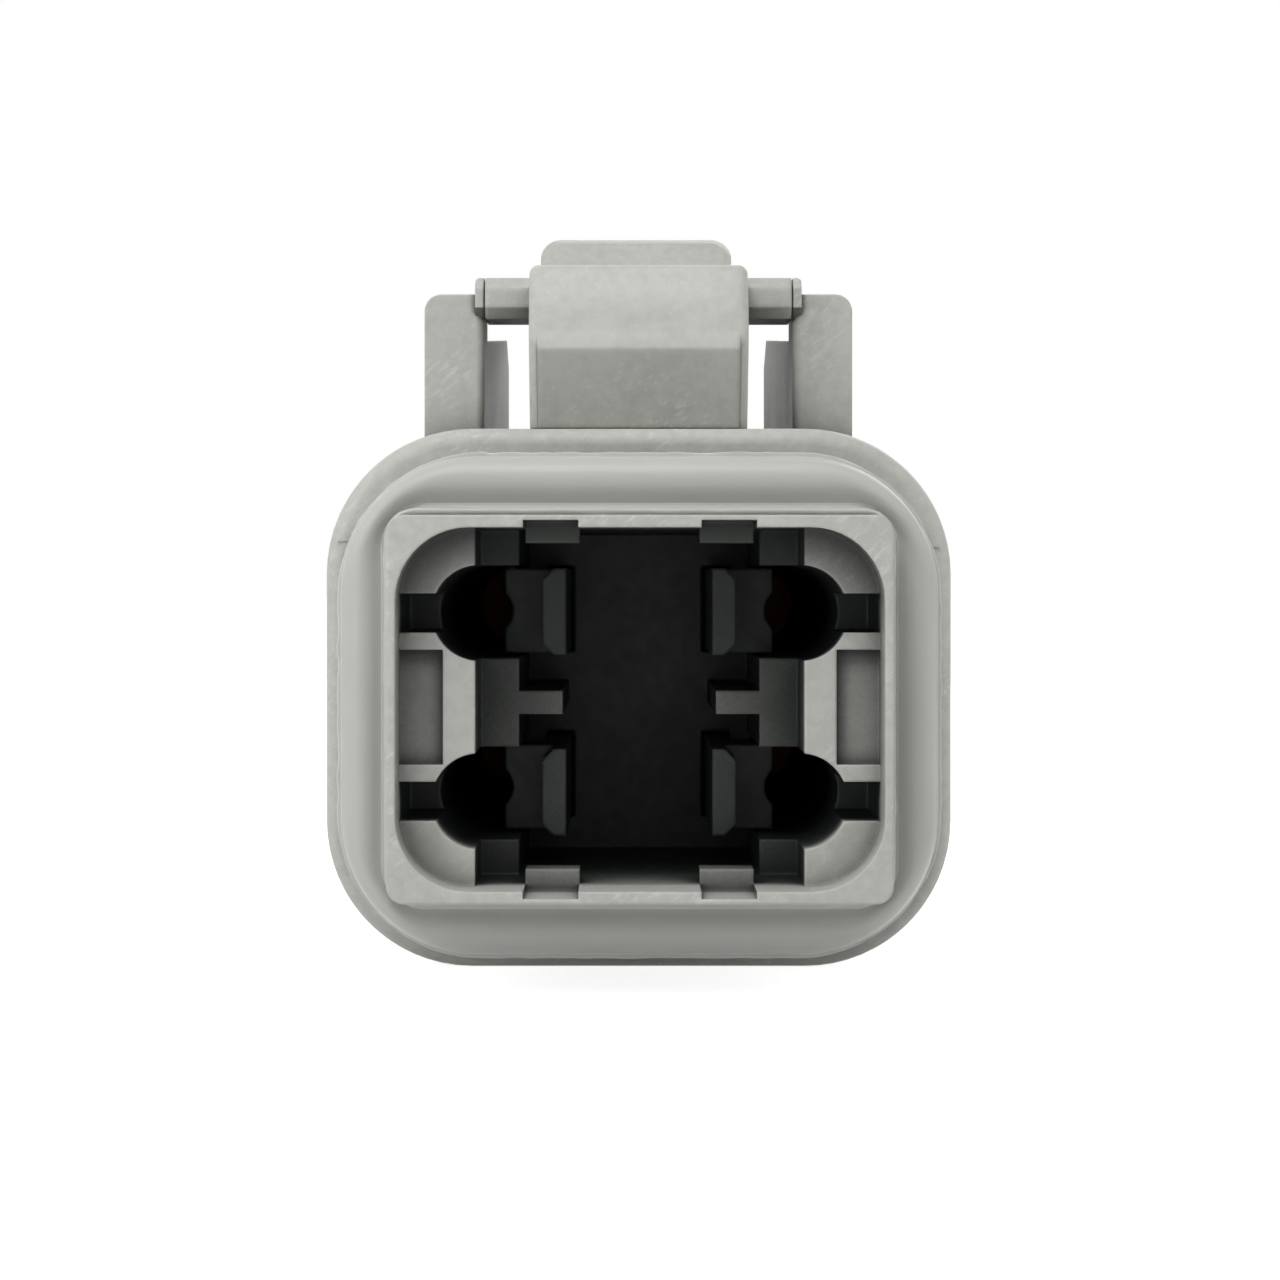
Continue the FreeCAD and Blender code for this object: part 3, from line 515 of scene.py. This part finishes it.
def makeSilicone(name, finish):
    material, nodes, links = startMaterial(name)
    shader = nodes["Principled BSDF"]
    shader.inputs["IOR"].default_value = finish["ior"]
    coordinates = nodes.new("ShaderNodeTexCoord")
    vector = coordinates.outputs["Object"]
    clouds = noiseNode(nodes, links, vector, finish["cloudScale"], *finish["cloudNoise"])
    dust = noiseNode(nodes, links, vector, finish["dustScale"], *finish["dustNoise"])
    clouded = mixColours(nodes, links, clouds, finish["deepColour"], finish["colour"])
    rounded, edge = addRoundedEdges(nodes, links, finish)
    # painted highlight on the edges
    edgeLevel = mathNode(nodes, links, "MULTIPLY", edge.outputs["Edge"], finish["paintedEdgeHighlight"])
    edged = mixColours(nodes, links, edgeLevel, clouded, finish["edgeHighlightColour"])
    links.new(edged, shader.inputs["Base Color"])
    linkRoughness(nodes, links, shader, dust, finish["roughness"], finish["roughSpread"])
    addBump(nodes, links, shader, dust, finish["dustStrength"], finish["dustDepth"])
    return material


# the seals' nodes are replaced by modelled pieces and need no material
def dressFrame(plastics):
    for name, node in frame["nodes"].items():
        if name in ("interface_seal", "wire_seal"):
            continue
        kind = "finger" if name.startswith("locking_finger") else name
        node.data.materials.clear()
        node.data.materials.append(plastics.get(kind, plastics["housing"]))


# ring-shaped pieces, made from rounded loops that are bridged one after the other
# They are built with 1 mm as the unit, because bridging mixes up loops that lie too close.

def addRoundedLoop(halfWidth, halfHeight, corner, y, segments, cuts, labels):
    bpy.ops.object.select_all(action="DESELECT")
    bpy.ops.mesh.primitive_plane_add(size=2, location=(0, y, middleHeight), rotation=(math.pi / 2, 0, 0))
    loop = bpy.context.object
    loop.scale = (halfWidth, halfHeight, 1)
    bpy.ops.object.transform_apply(location=True, rotation=True, scale=True)
    bpy.ops.object.mode_set(mode="EDIT")
    bpy.ops.mesh.select_all(action="SELECT")
    bpy.ops.mesh.bevel(offset=corner, segments=segments, affect="VERTICES", profile=0.5)
    bpy.ops.mesh.select_all(action="SELECT")
    bpy.ops.mesh.delete(type="ONLY_FACE")
    if cuts:
        cutStraights(loop, cuts)
    bpy.ops.object.mode_set(mode="OBJECT")
    for label in labels:
        group = loop.vertex_groups.new(name=label)
        group.add([v.index for v in loop.data.vertices], 1.0, "REPLACE")
    return loop


shortestSide = 1.5   # mm, edges longer than this are straight sides


# divides the four straight sides, so that they can be uneven
def cutStraights(loop, cuts):
    bpy.ops.object.mode_set(mode="OBJECT")
    points = loop.data.vertices
    for point in points:
        point.select = False
    for edge in loop.data.edges:
        first, second = (points[number] for number in edge.vertices)
        edge.select = (first.co - second.co).length > shortestSide
        if edge.select:
            first.select = second.select = True
    bpy.ops.object.mode_set(mode="EDIT")
    bpy.ops.mesh.subdivide(number_cuts=cuts)


def selectLoops(piece, labels):
    bpy.ops.mesh.select_all(action="DESELECT")
    for label in labels:
        piece.vertex_groups.active_index = piece.vertex_groups[label].index
        bpy.ops.object.vertex_group_select()


# moves the piece's ragged loops in and out a little
def roughen(piece, strength, scale):
    clouds = bpy.data.textures.new("raggedClouds", "CLOUDS")
    clouds.noise_scale = scale
    uneven = piece.modifiers.new("uneven", "DISPLACE")
    uneven.texture = clouds
    uneven.strength = strength
    uneven.vertex_group = "ragged"
    bpy.ops.object.modifier_apply(modifier=uneven.name)


# skins rounded loops given as (half width, half height, corner, y) in mm
def bridgeLoops(name, stations, segments, closed, cuts=0, ragged=(), raggedness=(0, 1)):
    loops = []
    for number, (halfWidth, halfHeight, corner, y) in enumerate(stations):
        labels = ["loop%03d" % number] + (["ragged"] if number in ragged else [])
        loops.append(addRoundedLoop(halfWidth, halfHeight, corner, y, segments, cuts, labels))
    bpy.ops.object.select_all(action="DESELECT")
    for loop in loops:
        loop.select_set(True)
    bpy.context.view_layer.objects.active = loops[0]
    bpy.ops.object.join()
    piece = bpy.context.object
    piece.name = name
    bpy.ops.object.mode_set(mode="EDIT")
    bpy.ops.mesh.select_mode(type="EDGE")
    count = len(stations)
    for number in range(count if closed else count - 1):
        selectLoops(piece, ["loop%03d" % number, "loop%03d" % ((number + 1) % count)])
        bpy.ops.mesh.bridge_edge_loops()
    if not closed:
        for number in (0, count - 1):
            selectLoops(piece, ["loop%03d" % number])
            bpy.ops.mesh.edge_face_add()
    bpy.ops.mesh.select_all(action="SELECT")
    bpy.ops.mesh.normals_make_consistent(inside=False)
    bpy.ops.object.mode_set(mode="OBJECT")
    if ragged:
        roughen(piece, *raggedness)
    piece.vertex_groups.clear()
    piece.scale = (mm, mm, mm)
    bpy.ops.object.transform_apply(location=True, rotation=True, scale=True)
    bpy.ops.object.shade_smooth_by_angle(angle=smoothAngle)
    return piece


sealLow, sealHigh = cornersOf("interface_seal")
# Section of the grey seal: mm out from the nose and mm behind its front lip.
interfaceSeal = {
    "noseHalf": (5.85, 4.49, 0.4),      # mm, outside of the nose and its corner
    "crestHalf": (sealHigh[0], (sealHigh[2] - sealLow[2]) / 2, 3.2),   # crest of the beads
    "front": sealLow[1],
    "length": sealHigh[1] - sealLow[1],
    "root": [(-0.02, 0.26), (0.035, 0.19)],   # behind the lip, down to the nose
    "lip": {"middle": (0.115, 0.07), "radii": (0.075, 0.07), "turn": (-90, 90), "steps": 6},
    "valley": [(0.165, 0.30), (0.18, 0.52), (0.23, 0.66), (0.32, 0.71), (0.41, 0.67)],
    "frontBead": {"middle": (0.85, 1.02), "radii": (0.575, 0.55), "turn": (-38, 84), "steps": 11},
    "flash": [(1.535, 0.985), (1.537, 1.020)],   # thin moulding flash on the crest
    "behindFlash": {"turn": (96, 152), "steps": 5},
    "raggedLip": (1, 6),                # points of the lip, from this one to before that one
    "raggedness": (0.10, 0.45),         # mm, depth and size of the unevenness
    "otherBeads": {"middles": (2.475, 3.875), "radii": (0.475, 0.50), "turn": (12, 168), "steps": 12},
    "groove": 0.76,
    "lastGroove": 0.62,                 # mm behind the last bead's middle
    "rearRound": 0.05,
    "inNose": 0.02,                     # mm that the seal reaches into the nose
    "cornerSteps": 14,
    "sideCuts": 30,
}


# points on an oval from one angle to another, 0 at its front and 90 at its crest
def ovalPoints(middle, radii, turn, steps):
    points = []
    for step in range(steps + 1):
        angle = math.radians(turn[0] + (turn[1] - turn[0]) * step / steps)
        points.append((middle[0] + radii[0] * math.sin(angle), middle[1] - radii[1] * math.cos(angle)))
    return points


def sealSection():
    seal = interfaceSeal
    lip, frontBead, others = seal["lip"], seal["frontBead"], seal["otherBeads"]
    points = list(seal["root"])
    points += ovalPoints(lip["middle"], lip["radii"], lip["turn"], lip["steps"])
    points += seal["valley"]
    points += ovalPoints(frontBead["middle"], frontBead["radii"], frontBead["turn"], frontBead["steps"])
    points += seal["flash"]
    behind = seal["behindFlash"]
    points += ovalPoints(frontBead["middle"], frontBead["radii"], behind["turn"], behind["steps"])
    crest = frontBead["middle"][0] + frontBead["radii"][0]
    before = frontBead["middle"][1]
    for place in others["middles"]:
        points.append((seal["groove"], (before + place) / 2))
        middle = (crest - others["radii"][0], place)
        points += ovalPoints(middle, others["radii"], others["turn"], others["steps"])
        before = place
    points += [(seal["groove"], before + seal["lastGroove"]),
               (seal["groove"], seal["length"] - seal["rearRound"]),
               (seal["groove"] - seal["rearRound"], seal["length"]),
               (-seal["inNose"], seal["length"] - seal["inNose"])]
    return points


def makeInterfaceSeal(material):
    seal = interfaceSeal
    nose, crest = seal["noseHalf"], seal["crestHalf"]
    height = crest[1] - nose[1]
    section = sealSection()
    stations = []
    for out, behind in section:
        share = out / height
        sizes = [n + (c - n) * share for n, c in zip(nose, crest)]
        stations.append((sizes[0], sizes[1], sizes[2], seal["front"] + behind))
    lipLoops = [len(seal["root"]) + number for number in range(*seal["raggedLip"])]
    flashLoops = [number for number, point in enumerate(section) if point in seal["flash"]]
    piece = bridgeLoops("interfaceSeal", stations, seal["cornerSteps"], True, cuts=seal["sideCuts"],
                        ragged=lipLoops + flashLoops, raggedness=seal["raggedness"])
    piece.data.materials.append(material)
    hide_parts("interface_seal")
    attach(piece, "plug")
    print("interface seal made")


wireLow, wireHigh = cornersOf("wire_seal")
wireSeal = {
    "half": (wireHigh[0], (wireHigh[2] - wireLow[2]) / 2, 2.0),   # mm, outer rings and their corner
    "front": wireLow[1],
    "rear": wireHigh[1],
    "rings": 3,
    "ringDepth": 0.30,
    "edgeDrop": 0.12,                   # mm, rounding of both ends
    "stations": 41,
    "cornerSteps": 8,
    "holes": mountPlaces("wire_entry"),
    "holeRadius": 0.10,                 # thin webs, nearly closed until a contact comes
    "mouthRadius": 0.45,                # last web, at the rear face
    "mouthShare": 0.25,                 # share of the length where the webs widen
    "grooveRadius": 0.95,
    "holeRings": 5,
    "cutterMargin": 0.2,                # mm that a cutter stands out at each end
    "cutterSteps": 50,
    "cutterSides": 32,
}


# 0 on each ring and 1 in the grooves between them, along is 0 at the front and 1 at the rear
def ringWave(rings, along):
    return 0.5 - 0.5 * math.cos(2 * math.pi * (rings - 1) * along)


# round cutter whose radius waves along Y, so that the hole gets soft rings
def addRingedCutter(x, z):
    seal = wireSeal
    length, margin, steps = seal["rear"] - seal["front"], seal["cutterMargin"], seal["cutterSteps"]
    stride = (length + 2 * margin) / steps
    bpy.ops.object.select_all(action="DESELECT")
    bpy.ops.mesh.primitive_circle_add(vertices=seal["cutterSides"], radius=seal["holeRadius"] * mm,
                                      fill_type="NGON", rotation=(math.pi / 2, 0, 0),
                                      location=(x * mm, (seal["front"] - margin) * mm, z * mm))
    cutter = bpy.context.object
    bpy.ops.object.transform_apply(location=False, rotation=True, scale=True)
    bpy.ops.object.mode_set(mode="EDIT")
    bpy.ops.mesh.select_all(action="SELECT")
    radius = seal["holeRadius"]
    for step in range(1, steps + 1):
        along = min(max((stride * step - margin) / length, 0), 1)
        widening = max(along + seal["mouthShare"] - 1, 0) / seal["mouthShare"]
        web = seal["holeRadius"] + (seal["mouthRadius"] - seal["holeRadius"]) * widening
        following = web + (seal["grooveRadius"] - web) * ringWave(seal["holeRings"], along)
        bpy.ops.mesh.extrude_region_move(TRANSFORM_OT_translate={"value": (0, stride * mm, 0)})
        factor = following / radius
        bpy.ops.transform.resize(value=(factor, 1, factor), center_override=cutter.location)
        radius = following
    bpy.ops.mesh.select_all(action="SELECT")
    bpy.ops.mesh.normals_make_consistent(inside=False)
    bpy.ops.object.mode_set(mode="OBJECT")
    bpy.ops.object.transform_apply(location=True, rotation=True, scale=True)
    return cutter


def makeWireSeal(material):
    seal = wireSeal
    halfWidth, halfHeight, corner = seal["half"]
    stations = []
    for number in range(seal["stations"]):
        along = number / (seal["stations"] - 1)
        drop = seal["ringDepth"] * ringWave(seal["rings"], along)
        if number in (0, seal["stations"] - 1):
            drop += seal["edgeDrop"]
        y = seal["front"] + (seal["rear"] - seal["front"]) * along
        stations.append((halfWidth - drop, halfHeight - drop, corner - drop, y))
    piece = bridgeLoops("wireSeal", stations, seal["cornerSteps"], False)
    for x, y, z in seal["holes"]:
        cutter = addRingedCutter(x, z)
        cut = piece.modifiers.new("wireHole", "BOOLEAN")
        cut.operation = "DIFFERENCE"
        cut.solver = "EXACT"
        cut.object = cutter
        bpy.ops.object.select_all(action="DESELECT")
        bpy.context.view_layer.objects.active = piece
        piece.select_set(True)
        bpy.ops.object.modifier_apply(modifier=cut.name)
        bpy.data.objects.remove(cutter)
    bpy.ops.object.shade_smooth_by_angle(angle=smoothAngle)
    piece.data.materials.clear()
    piece.data.materials.append(material)
    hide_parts("wire_seal")
    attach(piece, "plug")
    print("wire seal made")


# short raised lines that the mould halves leave on the flange, one each side
partingMarks = {
    "halfGap": 7.42,                    # mm from the middle
    "heights": (10.81, 10.66),          # mm, left and right
    "face": sealHigh[1],                # front of the flange
    "size": (0.42, 0.07, 0.045),
    "bevel": 0.012,
    "innerEnd": (0.6, 0.5),             # depth and height there, of those at the outer end
}


def makePartingMarks(material):
    marks = partingMarks
    for side, height in zip((-1, 1), marks["heights"]):
        bpy.ops.object.select_all(action="DESELECT")
        place = (side * marks["halfGap"] * mm, marks["face"] * mm, height * mm)
        bpy.ops.mesh.primitive_cube_add(size=1, location=place)
        mark = bpy.context.object
        mark.name = "partingMarkLeft" if side < 0 else "partingMarkRight"
        mark.scale = [length * mm for length in marks["size"]]
        bpy.ops.object.transform_apply(location=False, rotation=False, scale=True)
        bpy.ops.object.mode_set(mode="EDIT")
        bpy.ops.mesh.select_all(action="SELECT")
        bpy.ops.mesh.bevel(offset=marks["bevel"] * mm, segments=2, affect="EDGES")
        bpy.ops.object.mode_set(mode="OBJECT")
        for point in mark.data.vertices:
            if point.co.x * side < 0:
                point.co.y *= marks["innerEnd"][0]
                point.co.z *= marks["innerEnd"][1]
        bpy.ops.object.transform_apply(location=True, rotation=True, scale=True)
        bpy.ops.object.shade_smooth_by_angle(angle=smoothAngle)
        mark.data.materials.append(material)
        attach(mark, "plug")
    print("parting marks made")


def main():
    bpy.context.scene.view_settings.view_transform = "Standard"
    bpy.ops.object.select_all(action="DESELECT")
    makeCamera()
    makeLamps()
    makeWorld()
    makeFloor()
    print("camera, lamps and floor made")
    makeMouldedGrain()
    makeHandlingMarks()
    makeEdgeLight()
    plastics = {
        "housing": makePlastic("greyPlastic", plasticFinish),
        "latch": makePlastic("greyLatchPlastic", latchFinish),
        "finger": makePlastic("greyFingerPlastic", fingerFinish),
    }
    dressFrame(plastics)
    print("frame dressed")
    makeInterfaceSeal(makeSilicone("greySilicone", greySiliconeFinish))
    makeWireSeal(makeSilicone("ochreSilicone", ochreSiliconeFinish))
    makePartingMarks(plastics["housing"])


main()
